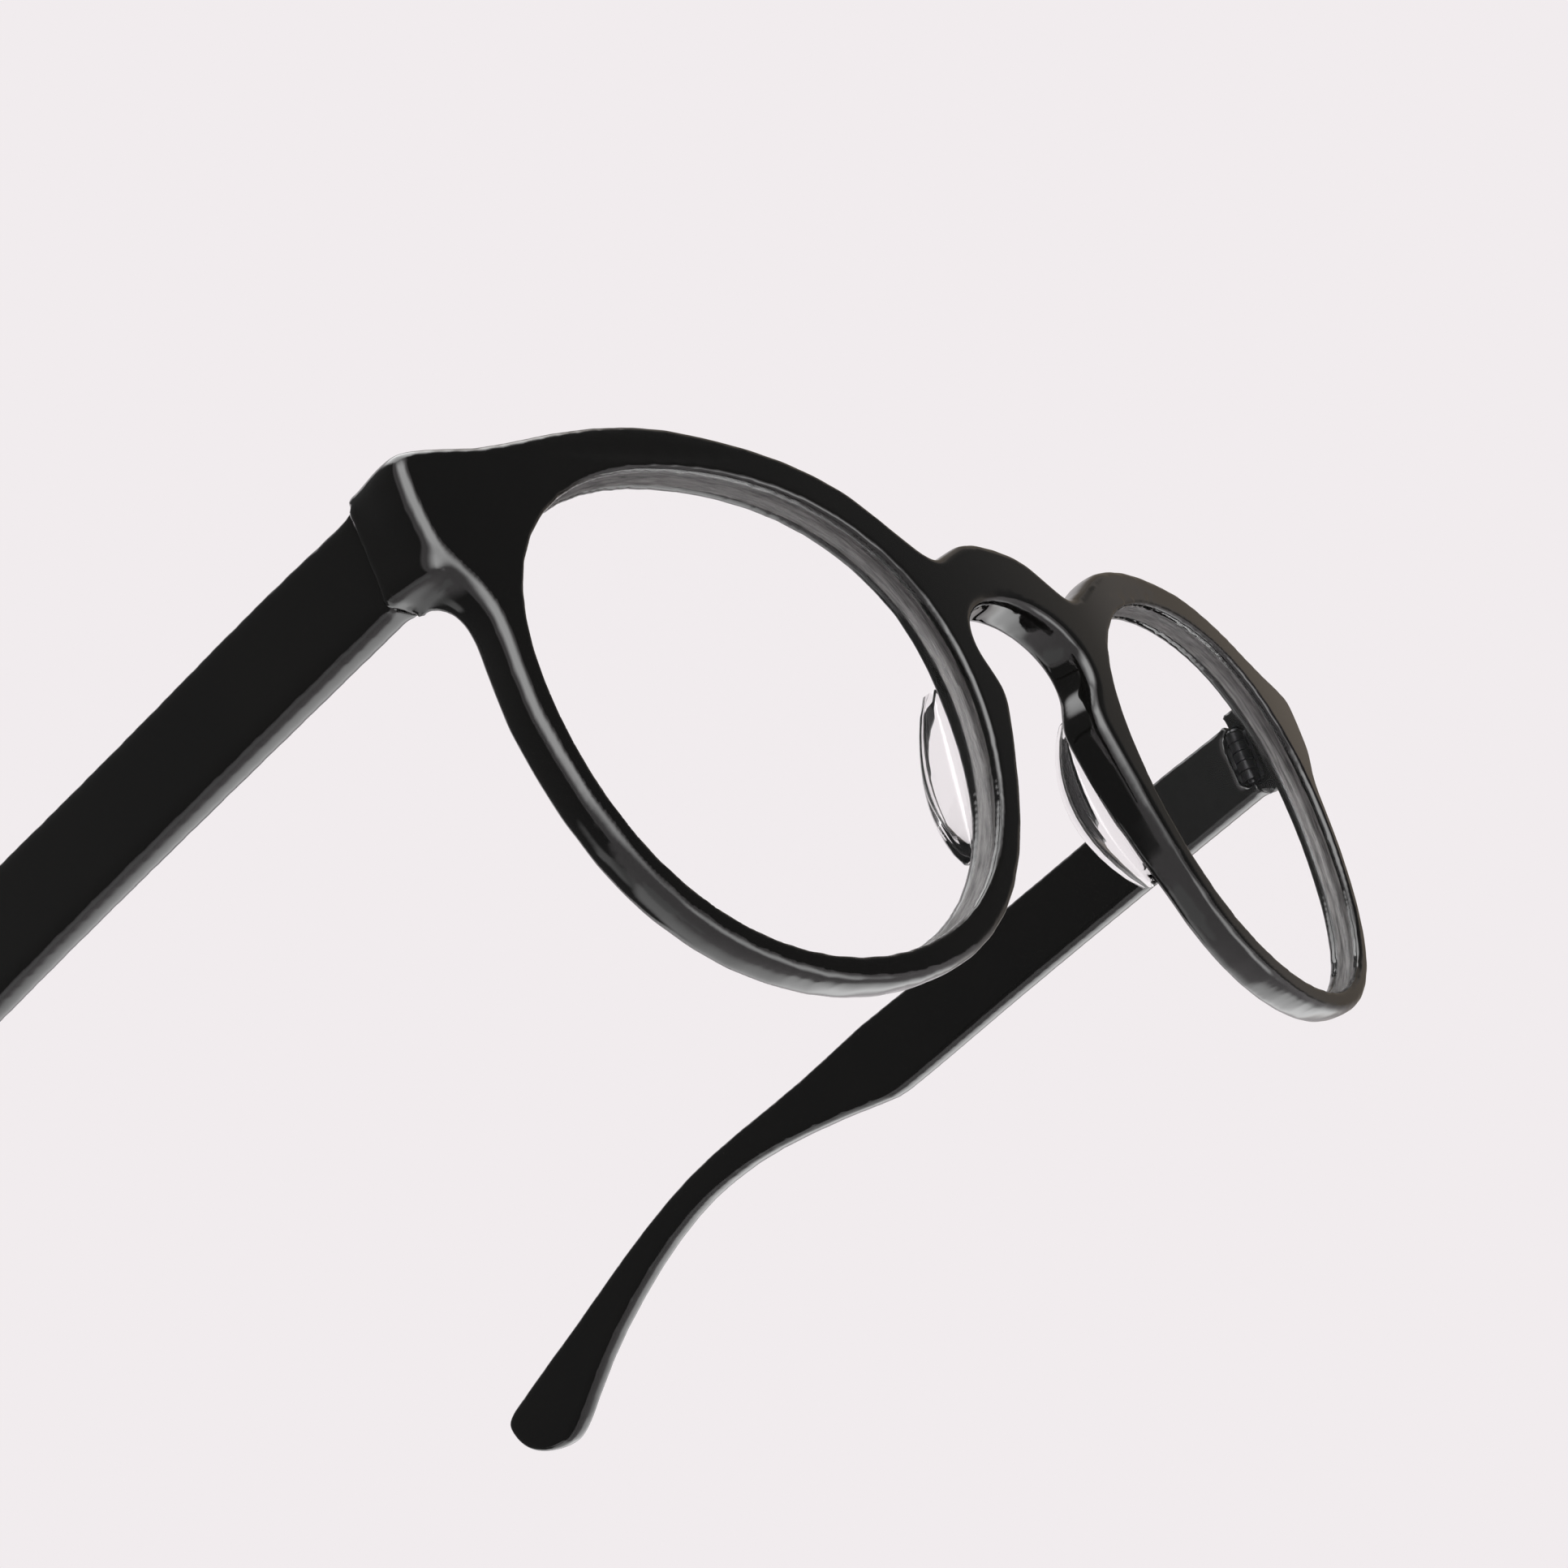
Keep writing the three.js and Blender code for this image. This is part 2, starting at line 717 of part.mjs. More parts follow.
function frontFrame() {
  const even = (value) => () => [value, value];
  const twinOpening = openingLoop().map((point) => new THREE.Vector2(-point.x, point.y));
  let slab = moulding([
    { points: frontOutline(outlinePoints), faceRound: frontEdge, backRound: even(rimRound), steps: 2 },
    { points: openingLoop().reverse(), faceRound: even(lipRound), backRound: even(lipRound), steps: 1 },
    { points: twinOpening, faceRound: even(lipRound), backRound: even(lipRound), steps: 1 },
  ]);
  const places = rampShares.map((share) => legInner - endLegRamp * share);
  places.push(...drawShares.map((share) => legInner + endLegDraw * share));
  places.push(keyholeHalfWidth, (keyholeHalfWidth + bridgeFade) / 2, bridgeFade);
  places.forEach((place) => {
    slab = scored(scored(slab, place), -place);
  });
  let frame = toSolid(placed(slab, ({ u, v, a, b }) => onFront(u, v, a + b * frontDepth(u, v))));
  const middle = frontThickness / 2;
  const flare = grooveMouth - grooveFloor / 2;
  const groove = toSolid(openingPlate([
    [-grooveDepth, middle - flare],
    [grooveDepth, middle - grooveFloor / 2],
    [grooveDepth, middle + grooveFloor / 2],
    [-grooveDepth, middle + flare],
  ], 0));
  const cutters = [groove, mitreBlock(1), hingeRoom(-1, frontLeafLength, barrelHeight), shoulderCutter()];
  cutters.forEach((cutter) => {
    frame = frame.subtract(cutter).subtract(twinOf(cutter));
  });
  return toGeometry(frame);
}

function lens() {
  const middle = frontThickness / 2;
  const half = lensEdge / 2;
  const tip = (grooveFloor - lensClearance) / 2;
  const crownShares = [0.78, 0.38];
  const faceRingShares = [0.5, 0.8];
  const backRingShare = 0.6;
  return openingPlate([
    [-lensClearance, middle - half - lensBulge * crownShares[0], faceRingShares[0]],
    [-lensClearance, middle - half - lensBulge * crownShares[1], faceRingShares[1]],
    [-lensClearance, middle - half],
    [-lensClearance, middle - half + lensClearance],
    [grooveDepth - lensClearance, middle - tip],
    [grooveDepth - lensClearance, middle + tip],
    [-lensClearance, middle + half - lensClearance],
    [-lensClearance, middle + half],
    [-lensClearance, middle + half - lensBulge * crownShares[1], backRingShare],
  ], lensBulge * (1 - crownShares[0]));
}

// Round bar along the middle of the temple, used for the core and, a little larger, for its bore
function coreBar(radius, from, to) {
  const points = [];
  const steps = 12;
  for (let i = 0; i <= steps; i += 1) {
    const s = from + ((to - from) * i) / steps;
    points.push(onTemple(s, templeMiddle(s / templeReach), templeThickness / 2));
  }
  const circle = new THREE.Shape();
  circle.absarc(0, 0, radius, 0, 2 * Math.PI, false);
  const path = new THREE.CatmullRomCurve3(points);
  return new THREE.ExtrudeGeometry(circle, { steps, curveSegments: 4, extrudePath: path });
}

const coreStart = mitreSlope * templeThickness + templeLeafLength + 2 * coreClearance;

function temple() {
  const edge = () => [templeRound, templeRound];
  const points = templeOutline(templePoints);
  const slab = moulding([{ points, faceRound: edge, backRound: edge, steps: 2 }]);
  const blank = placed(slab, ({ u, v, a, b }) => onTemple(u, v, a + b * templeThickness));
  const bore = coreBar(coreRadius + coreClearance, templeLeafLength / 2, coreReach + coreClearance);
  return toGeometry(toSolid(blank)
    .subtract(mitreBlock(-1))
    .subtract(hingeRoom(1, templeLeafLength, templeLeafHeight))
    .subtract(toSolid(bore)));
}

// Clear pad on the nose side of a rim: a lofted ridge on the rim's back whose crest leans outward
function nosePad() {
  // Across the pad from nose to lens, and height, as shares of its width and depth
  const sectionShares = [
    [0, 0],
    [0, 0.1],
    [0.16, 0.34],
    [0.38, 0.66],
    [0.6, 0.91],
    [0.76, 1],
    [0.89, 0.93],
    [0.97, 0.66],
    [1, 0.3],
    [1, 0],
  ];
  const rows = 12;
  const count = sectionShares.length;
  const positions = [];
  const index = [];
  for (let r = 0; r <= rows; r += 1) {
    const share = r / rows;
    const full = Math.sqrt(Math.sin(Math.PI * THREE.MathUtils.lerp(padEndShare, 1 - padEndShare, share)));
    const v = padMiddle + padHeight * (0.5 - share);
    const turn = Math.PI - Math.asin((2 * v) / lensHeight);
    const wall = openingPoint(turn, padInset);
    const nose = openingPoint(turn, rimWidth * padRimShare - padInset);
    const middle = wall.clone().lerp(nose, 0.5);
    sectionShares.forEach(([across, up]) => {
      const spot = nose.clone().lerp(wall, across).lerp(middle, 1 - full);
      const seat = frontDepth(spot.x, spot.y) + padGap;
      positions.push(...onFront(spot.x, spot.y, seat + padDepth * full * up).toArray());
    });
  }
  for (let r = 0; r < rows; r += 1) {
    for (let k = 0; k < count; k += 1) {
      const a = r * count + k;
      const b = r * count + ((k + 1) % count);
      index.push(a, b, a + count, b, b + count, a + count);
    }
  }
  const end = rows * count;
  for (let k = 1; k + 1 < count; k += 1) {
    index.push(0, k + 1, k, end, end + k, end + k + 1);
  }
  const geometry = new THREE.BufferGeometry();
  geometry.setAttribute('position', new THREE.Float32BufferAttribute(positions, 3));
  geometry.setIndex(index);
  return geometry;
}

function coreWire() {
  return toGeometry(toSolid(coreBar(coreRadius, coreStart, coreReach)));
}

// Lowest height of some geometries once the glasses lean forward by an angle
function lowest(geometries, angle) {
  let low = Infinity;
  geometries.forEach((geometry) => {
    const { array } = geometry.attributes.position;
    for (let i = 0; i < array.length; i += 3) {
      low = Math.min(low, array[i + 1] * Math.sin(angle) + array[i + 2] * Math.cos(angle));
    }
  });
  return low;
}

// Angle at which rims and temple tips touch the table together
function restingAngle(front, arm) {
  let [under, over] = [-rightAngle / 3, rightAngle / 3];
  for (let i = 0; i < 40; i += 1) {
    const angle = (under + over) / 2;
    if (lowest([arm], angle) < lowest([front], angle)) {
      under = angle;
    } else {
      over = angle;
    }
  }
  return (under + over) / 2;
}

const glasses = new THREE.Group();
const templeGeometry = temple();
const pieces = [
  ['lens', lens(), lensResin],
  ['nose_pad', nosePad(), clearAcetate],
  ['temple', templeGeometry, acetate],
  ['core_wire', coreWire(), brightSteel],
  ['front_hinge_leaf', toGeometry(hingeLeaf(-1, frontLeafLength, barrelHeight, 0)), darkSteel],
  ['temple_hinge_leaf', toGeometry(hingeLeaf(1, templeLeafLength, templeLeafHeight, 1)), darkSteel],
  ['hinge_screw', toGeometry(hingeScrew()), darkSteel],
];

function addPiece(name, geometry, material) {
  const mesh = new THREE.Mesh(geometry, material);
  mesh.name = name;
  glasses.add(mesh);
}

const frontGeometry = frontFrame();
addPiece('front_frame', frontGeometry, acetate);
pieces.forEach(([name, geometry, material]) => {
  addPiece(`${name}_left`, geometry, material);
  addPiece(`${name}_right`, mirrored(geometry), material);
});

glasses.rotation.x = restingAngle(frontGeometry, templeGeometry);
glasses.updateMatrixWorld(true);
const box = new THREE.Box3().setFromObject(glasses, true);
glasses.position.set(
  -(box.min.x + box.max.x) / 2,
  -(box.min.y + box.max.y) / 2,
  -box.min.z,
);
glasses.updateMatrixWorld(true);

export default glasses;
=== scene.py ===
import json
import math

import bpy
from mathutils import Matrix, Vector
from mathutils.bvhtree import BVHTree


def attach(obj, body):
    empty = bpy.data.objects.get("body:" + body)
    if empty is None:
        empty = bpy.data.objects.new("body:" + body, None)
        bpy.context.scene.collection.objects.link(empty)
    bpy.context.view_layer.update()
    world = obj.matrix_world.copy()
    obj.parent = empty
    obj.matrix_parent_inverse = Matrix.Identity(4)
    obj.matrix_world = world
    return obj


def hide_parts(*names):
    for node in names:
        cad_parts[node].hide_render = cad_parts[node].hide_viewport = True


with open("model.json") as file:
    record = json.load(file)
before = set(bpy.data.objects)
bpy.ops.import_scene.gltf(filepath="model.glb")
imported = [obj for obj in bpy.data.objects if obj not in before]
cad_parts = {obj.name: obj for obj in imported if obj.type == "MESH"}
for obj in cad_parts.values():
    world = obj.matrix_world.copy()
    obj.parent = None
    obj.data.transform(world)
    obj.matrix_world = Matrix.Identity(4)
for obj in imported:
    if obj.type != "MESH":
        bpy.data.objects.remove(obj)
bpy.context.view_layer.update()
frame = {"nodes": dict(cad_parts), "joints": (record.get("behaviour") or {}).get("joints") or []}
print("frame loaded:", len(frame["nodes"]), "nodes")

mm = 0.001


def selectOnly(piece):
    bpy.ops.object.select_all(action="DESELECT")
    piece.select_set(True)
    bpy.context.view_layer.objects.active = piece


def toPlace(triple):
    return Vector(triple) * mm


# Camera of the photograph: its place in millimetres, and its directions, in the frame of the part
photoView = {
    "place": (-172.394, -160.069, -45.428),
    "right": (0.61794, -0.7243, -0.30584),
    "down": (0.0993, 0.45778, -0.88351),
    "forward": (0.77993, 0.51558, 0.35481),
    "focalPixels": 3000,
    "imagePixels": 1932,
    "sensor": 36,
    "near": 5,
    "far": 20000,
}


def addCamera():
    data = bpy.data.cameras.new("photoCamera")
    data.sensor_width = photoView["sensor"]
    data.lens = photoView["sensor"] * photoView["focalPixels"] / photoView["imagePixels"]
    data.clip_start = photoView["near"] * mm
    data.clip_end = photoView["far"] * mm
    camera = bpy.data.objects.new("photoCamera", data)
    bpy.context.scene.collection.objects.link(camera)
    right, down, forward = (Vector(photoView[name]) for name in ("right", "down", "forward"))
    turn = Matrix((right, -down, -forward)).transposed().to_quaternion().normalized()
    camera.matrix_world = Matrix.Translation(toPlace(photoView["place"])) @ turn.to_matrix().to_4x4()
    bpy.context.scene.camera = camera


addCamera()
bpy.context.scene.view_settings.view_transform = "Standard"
print("camera placed")


class Signal:  # an output socket that can be used in sums
    def __init__(self, shader, socket):
        self.shader = shader
        self.socket = socket

    def __add__(self, other):
        return self.shader.maths("ADD", self, other)

    def __radd__(self, other):
        return self.shader.maths("ADD", other, self)

    def __sub__(self, other):
        return self.shader.maths("SUBTRACT", self, other)

    def __rsub__(self, other):
        return self.shader.maths("SUBTRACT", other, self)

    def __mul__(self, other):
        return self.shader.maths("MULTIPLY", self, other)

    def __rmul__(self, other):
        return self.shader.maths("MULTIPLY", other, self)


class Shader:
    def __init__(self, owner):
        owner.use_nodes = True
        self.tree = owner.node_tree
        self.tree.nodes.clear()

    def add(self, kind, settings, inputs, output=0):
        node = self.tree.nodes.new(kind)
        for name, value in settings.items():
            setattr(node, name, value)
        for name, value in inputs.items():
            if isinstance(value, Signal):
                self.tree.links.new(value.socket, node.inputs[name])
            else:
                node.inputs[name].default_value = value
        return Signal(self, node.outputs[output]) if node.outputs else None

    def maths(self, operation, *values):
        return self.add("ShaderNodeMath", {"operation": operation}, dict(enumerate(values)))

    def place(self):
        return self.add("ShaderNodeTexCoord", {}, {}, "Object")

    def parts(self, vector):
        first = self.add("ShaderNodeSeparateXYZ", {}, {"Vector": vector})
        return [Signal(self, output) for output in first.socket.node.outputs]

    def rayKind(self, kind):
        return self.add("ShaderNodeLightPath", {}, {}, f"Is {kind} Ray")

    def ramp(self, value, low, high):  # 0 below low, 1 above high, smooth between
        return self.add("ShaderNodeMapRange", {"interpolation_type": "SMOOTHSTEP"}, {
            "Value": value, "From Min": low, "From Max": high,
        })

    def mixed(self, share, first, second):
        return self.add("ShaderNodeMix", {"data_type": "RGBA"}, {0: share, 6: first, 7: second}, 2)

    def mixedShaders(self, share, first, second):
        return self.add("ShaderNodeMixShader", {}, {0: share, 1: first, 2: second})

    def noise(self, scale, detail, roughness=0.5, stretch=(1, 1, 1)):
        spot = self.add("ShaderNodeMapping", {}, {"Vector": self.place(), "Scale": stretch})
        return self.add("ShaderNodeTexNoise", {}, {
            "Vector": spot, "Scale": scale, "Detail": detail, "Roughness": roughness,
        })

    def bump(self, strength, distance, height, **normal):
        return self.add("ShaderNodeBump", {}, {
            "Strength": strength, "Distance": distance, "Height": height, **normal,
        })

    def close(self, surface, kind="ShaderNodeOutputMaterial"):
        self.add(kind, {}, {"Surface": surface})


def addMaterial(name):
    material = bpy.data.materials.new(name)
    return material, Shader(material)


# The front is formed over a wide barrel: the barrel's two radii, the sheet's thickness and the middle of
# its front face, in millimetres. The axis of a hinge shows how far the front leans back.
sheet = {
    "radiusAcross": 329,
    "radiusUpright": 444,
    "thickness": 3.6,
    "place": (0, -74.7174, 22.0061),
}
leanAngle = math.asin(-frame["joints"][0]["axis"][1])
sheetPlace = Matrix.Translation(toPlace(sheet["place"])) @ Matrix.Rotation(leanAngle, 4, "X")
toSheet = sheetPlace.inverted()


# The lens groove is milled and left unpolished, with cutter lines that run round the lens. Its grey is
# partly the milled acetate's own dull colour and partly painted sheen and glints, standing in for the bright
# studio it mirrors.
# It lies between two depths behind the sheet's front face, in millimetres, and ends outside the lens, where
# the squared share of the lens's half width and height goes from rimFrom to rimTo.
milledGroove = {
    "lensAcross": 35,
    "lensHalf": (23.1, 19.9),
    "from": 0.85,
    "to": 2.75,
    "edge": 0.15,
    "rimFrom": 1.24,
    "rimTo": 1.28,
    "facing": 2,
    # The milled band's two colours: the pale one is partly the acetate's own dull grey, partly painted sheen
    # and glints
    "dark": (0.03, 0.029, 0.028, 1),
    "pale": (0.18, 0.172, 0.17, 1),
    "turns": 7,
    "lines": 6,
    "lineNoise": {"Scale": 1.0, "Detail": 4.0, "Roughness": 0.65},
    "contrast": (0.3, 0.7),
    "roughness": 0.3,
    "spread": 0.2,
    "relief": 0.3,
    "lineHeight": 0.00005,
}


def milledBand(shader, groove):
    spot = shader.add("ShaderNodeMapping", {}, {
        "Vector": shader.place(),
        "Location": toSheet.to_translation() / mm,
        "Rotation": (-leanAngle, 0, 0),
        "Scale": (1 / mm, 1 / mm, 1 / mm),
    })
    x, y, z = shader.parts(spot)
    depth = y - x * x * (0.5 / sheet["radiusAcross"]) - z * z * (0.5 / sheet["radiusUpright"])
    away = shader.maths("ABSOLUTE", x) - groove["lensAcross"]
    normalX, _, normalZ = shader.parts(shader.add("ShaderNodeNewGeometry", {}, {}, "Normal"))
    inward = normalX * shader.maths("SIGN", x) * away + normalZ * z  # below 0 towards the lens's middle
    across, upright = (1 / half for half in groove["lensHalf"])
    share = away * away * across * across + z * z * upright * upright
    low, high, edge = groove["from"], groove["to"], groove["edge"]
    band = shader.ramp(depth, low, low + edge) * (1 - shader.ramp(depth, high - edge, high))
    band = band * (1 - shader.ramp(share, groove["rimFrom"], groove["rimTo"]))
    band = band * (1 - shader.ramp(inward, 0, groove["facing"]))
    turn = shader.maths("ARCTAN2", z, away)
    along = shader.add("ShaderNodeCombineXYZ", {}, {
        0: turn * groove["turns"], 1: depth * groove["lines"], 2: share,
    })
    lines = shader.add("ShaderNodeTexNoise", {}, {"Vector": along, **groove["lineNoise"]})
    return band, shader.ramp(lines, *groove["contrast"])


# Polished black acetate: deep black, slightly wavy from the tumbling, with faint haze
acetateLook = {
    "colour": (0.0035, 0.0035, 0.0035, 1),
    "cloud": (0.006, 0.0056, 0.005, 1),
    "cloudNoise": {"scale": 90, "detail": 4},
    "shine": 0.045,
    "haze": 0.05,
    "hazeNoise": {"scale": 160, "detail": 5, "roughness": 0.6},
    "wave": 0.04,
    "waveNoise": {"scale": 70, "detail": 1},
    "waveHeight": 0.0004,
    "ior": 1.49,
}


def makeAcetate(name, milled=None):
    look = acetateLook
    material, shader = addMaterial(name)
    colour = shader.mixed(shader.noise(**look["cloudNoise"]), look["colour"], look["cloud"])
    haze = shader.noise(**look["hazeNoise"])
    roughness = look["shine"] + haze * haze * look["haze"]
    normal = shader.bump(look["wave"], look["waveHeight"], shader.noise(**look["waveNoise"]))
    if milled:
        band, lines = milledBand(shader, milled)
        # Painted sheen: the groove's pale grey and pale streaks stand partly for light the milled surface
        # reflects
        colour = shader.mixed(band, colour, shader.mixed(lines, milled["dark"], milled["pale"]))
        roughness = roughness + band * (milled["roughness"] + lines * milled["spread"])
        normal = shader.bump(milled["relief"], milled["lineHeight"], band * lines, Normal=normal)
    shader.close(shader.add("ShaderNodeBsdfPrincipled", {}, {
        "Base Color": colour, "Roughness": roughness, "IOR": look["ior"], "Normal": normal,
    }))
    return material


# Clear acetate of the pads, which bends what lies behind it
padLook = {
    "colour": (0.97, 0.96, 0.965, 1),
    "roughness": 0.01,
    "haze": 0.03,
    "hazeNoise": {"scale": 300, "detail": 3},
    "ior": 1.49,
}


def makePadClear():
    look = padLook
    material, shader = addMaterial("clearAcetate")
    haze = shader.noise(**look["hazeNoise"])
    shader.close(shader.add("ShaderNodeBsdfPrincipled", {}, {
        "Base Color": look["colour"],
        "Roughness": look["roughness"] + haze * haze * look["haze"],
        "Transmission Weight": 1.0,
        "IOR": look["ior"],
    }))
    return material


# Lens resin, coated against reflections, so that only its edge shows a little: a painted sheen, its pale
# colour showing more where the lens is seen slantwise.
lensLook = {
    "colour": (0.90, 0.95, 0.95, 1),
    "alpha": 0.004,
    "edge": 0.05,
    "edgeBlend": 0.2,
    "roughness": 0.01,
    "haze": 0.01,
    "hazeNoise": {"scale": 200, "detail": 2},
    "ior": 1.5,
}


def makeLensResin():
    look = lensLook
    material, shader = addMaterial("lensResin")
    haze = shader.noise(**look["hazeNoise"])
    slant = shader.add("ShaderNodeLayerWeight", {}, {"Blend": look["edgeBlend"]}, "Facing")
    shader.close(shader.add("ShaderNodeBsdfPrincipled", {}, {
        "Base Color": look["colour"],
        "Roughness": look["roughness"] + haze * look["haze"],
        # Painted sheen: more of the pale lens colour shows where the surface is seen slantwise
        "Alpha": look["alpha"] + slant * slant * slant * look["edge"],
        "IOR": look["ior"],
    }))
    return material


# Dark plated steel of the hinges and screws, and the drawn wire of the cores, both with a fine grain
darkSteelLook = {"dark": (0.02, 0.02, 0.021, 1), "pale": (0.06, 0.06, 0.062, 1), "roughness": 0.25}
coreSteelLook = {"dark": (0.45, 0.45, 0.46, 1), "pale": (0.62, 0.62, 0.63, 1), "roughness": 0.25}
steelGrain = {"noise": {"scale": 1500, "detail": 3, "stretch": (1, 1, 8)}, "spread": 0.15}


def makeSteel(name, look):
    material, shader = addMaterial(name)
    grain = shader.noise(**steelGrain["noise"])
    shader.close(shader.add("ShaderNodeBsdfPrincipled", {}, {
        "Base Color": shader.mixed(grain, look["dark"], look["pale"]),
        "Metallic": 1.0,
        "Roughness": look["roughness"] + grain * steelGrain["spread"],
    }))
    return material


acetate = makeAcetate("blackAcetate")
frontAcetate = makeAcetate("blackAcetateMilled", milledGroove)
clearPad = makePadClear()
lensResin = makeLensResin()
hingeSteel = makeSteel("hingeSteel", darkSteelLook)
coreSteel = makeSteel("coreSteel", coreSteelLook)
print("materials made")


# Every piece starts as a copy of its solid with its doubles merged, weld in millimetres. A piece that isn't
# rubbed down keeps the edges that are sharper than the angle, in degrees.
copySettings = {"weld": 0.002, "sharpAngle": 50, "evenWeight": 50}


def takeCopy(node, name):
    piece = bpy.data.objects.new(name, frame["nodes"][node].data.copy())
    bpy.context.scene.collection.objects.link(piece)
    selectOnly(piece)
    bpy.ops.object.mode_set(mode="EDIT")
    bpy.ops.mesh.select_all(action="SELECT")
    bpy.ops.mesh.remove_doubles(threshold=copySettings["weld"] * mm)
    bpy.ops.object.mode_set(mode="OBJECT")
    return piece


def settleShading(piece):
    selectOnly(piece)
    bpy.ops.object.shade_smooth_by_angle(angle=math.radians(copySettings["sharpAngle"]))
    even = piece.modifiers.new("even", "WEIGHTED_NORMAL")
    even.mode = "FACE_AREA"
    even.weight = copySettings["evenWeight"]
    even.keep_sharp = True
    bpy.ops.object.modifier_apply(modifier=even.name)


# Plane in which the left end piece meets its temple, in millimetres from the sheet's place, as it leans
mitre = {"place": (63.5, 12.2, 12.25), "normal": (0.05, 1, -0.15)}
mitrePlace = Vector(mitre["place"])
mitreNormal = Vector(mitre["normal"]).normalized()

# Blocks that the remesh melts into a piece, on the left half and placed as the mitre is. Each ends at a gap
# in front of the mitre, or behind it where the gap is below 0. The cheek and the sole keep the end piece at
# full width down to the temple's underside. The fillings close the hinge leaves' cavities, whose skin the
# remesh can't hold.
addedBlocks = {
    "cheek": {
        "middle": (63.25, 10.0, 12.1), "size": (1.9, 5.6, 8.1), "turn": -3, "gap": 0.0, "round": 0.5,
    },
    "sole": {
        "middle": (62.3, 9.6, 8.5), "size": (3.0, 5.6, 0.95), "turn": -3, "gap": -0.35, "round": 0.2,
    },
    "frontFilling": {
        "middle": (61.6, 9.8, 12.25), "size": (1.1, 2.4, 6.2), "turn": 0, "gap": 0.2, "round": 0.1,
    },
    "armFilling": {
        "middle": (61.95, 17.3, 11.4), "size": (1.4, 6.4, 6.2), "turn": -3.05, "gap": -9, "round": 0.1,
    },
}
roundSegments = 2


def addBlock(piece, setting, sign):
    bpy.ops.mesh.primitive_cube_add(size=1, location=(0, 0, 0))
    block = bpy.context.active_object
    bpy.ops.object.mode_set(mode="EDIT")
    bpy.ops.mesh.select_all(action="SELECT")
    bpy.ops.transform.resize(value=toPlace(setting["size"]))
    bpy.ops.mesh.bevel(offset=setting["round"] * mm, segments=roundSegments, affect="EDGES")
    bpy.ops.mesh.select_all(action="SELECT")
    bpy.ops.transform.rotate(
        value=-math.radians(setting["turn"]), orient_axis="Z", center_override=(0, 0, 0))
    bpy.ops.transform.translate(value=toPlace(setting["middle"]))
    bpy.ops.mesh.bisect(
        plane_co=toPlace(mitrePlace - mitreNormal * setting["gap"]), plane_no=mitreNormal,
        use_fill=True, clear_outer=True)
    bpy.ops.object.mode_set(mode="OBJECT")
    block.data.transform(sheetPlace @ Matrix.Diagonal((sign, 1, 1, 1)))
    if sign < 0:
        block.data.flip_normals()
    selectOnly(piece)
    block.select_set(True)
    bpy.ops.object.join()


# The tumbled acetate has no hard edge: its copies get a fine even mesh, then their edges are rubbed down
# in two rounds of as many passes. The heavy round spares the lens groove, and both leave the mitres flat
# for keep. The voxel, keep and the groove's reach are in millimetres.
frontRubbing = {
    "voxel": 0.28, "light": 6, "heavy": 30, "strength": 0.5, "keep": 0.5, "grooveFrom": 0.9, "grooveTo": 1.4,
}
templeRubbing = {"voxel": 0.25, "light": 14, "heavy": 30, "strength": 0.5, "keep": 0.5}
depsgraph = bpy.context.evaluated_depsgraph_get()
lensShapes = [
    BVHTree.FromObject(frame["nodes"][node], depsgraph) for node in ("lens_left", "lens_right")
]


def smooth(share):  # 0 to 1 with soft ends
    share = min(max(share, 0), 1)
    return share * share * (3 - 2 * share)


def fromMitre(spot):  # distance from the plane of the nearer mitre
    return abs((Vector((abs(spot.x), spot.y, spot.z)) - mitrePlace).dot(mitreNormal))


def rubShares(point, setting):
    light = smooth((fromMitre(toSheet @ point / mm) - setting["keep"]) / setting["keep"])
    if "grooveFrom" not in setting:
        return light, light
    away = min(shape.find_nearest(point)[3] for shape in lensShapes) / mm
    heavy = smooth((away - setting["grooveFrom"]) / (setting["grooveTo"] - setting["grooveFrom"]))
    return light, light * heavy


def rubDown(piece, setting):
    selectOnly(piece)
    fine = piece.modifiers.new("fine", "REMESH")
    fine.mode = "VOXEL"
    fine.voxel_size = setting["voxel"] * mm
    bpy.ops.object.modifier_apply(modifier=fine.name)
    shares = [rubShares(vertex.co, setting) for vertex in piece.data.vertices]
    for index, name in enumerate(("light", "heavy")):
        group = piece.vertex_groups.new(name=name)
        for vertex, share in enumerate(shares):
            group.add([vertex], share[index], "REPLACE")
        rub = piece.modifiers.new(name, "SMOOTH")
        rub.factor = setting["strength"]
        rub.iterations = setting[name]
        rub.vertex_group = group.name
        bpy.ops.object.modifier_apply(modifier=rub.name)
    piece.vertex_groups.clear()
    bpy.ops.object.shade_smooth()


def dress(node, name, body, material, rub=None, blocks=()):
    piece = takeCopy(node, name)
    for block, sign in blocks:
        addBlock(piece, addedBlocks[block], sign)
    if rub:
        rubDown(piece, rub)
    else:
        settleShading(piece)
    piece.data.materials.clear()
    piece.data.materials.append(material)
    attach(piece, body)
    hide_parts(node)
    return piece


# How near, in millimetres, and how square to a formed face a vertex lies to take that face's exact normal
formedFaces = {"near": 0.12, "turnFrom": 0.95, "turnTo": 0.998}


def sheetDepthAndNormal(point):
    spot = toSheet @ point / mm
    across, upright = spot.x / sheet["radiusAcross"], spot.z / sheet["radiusUpright"]
    slope = Vector((across, -1, upright)).normalized()
    rise = (spot.x * across + spot.z * upright) / 2
    return (spot.y - rise) * -slope.y, sheetPlace.to_3x3() @ slope


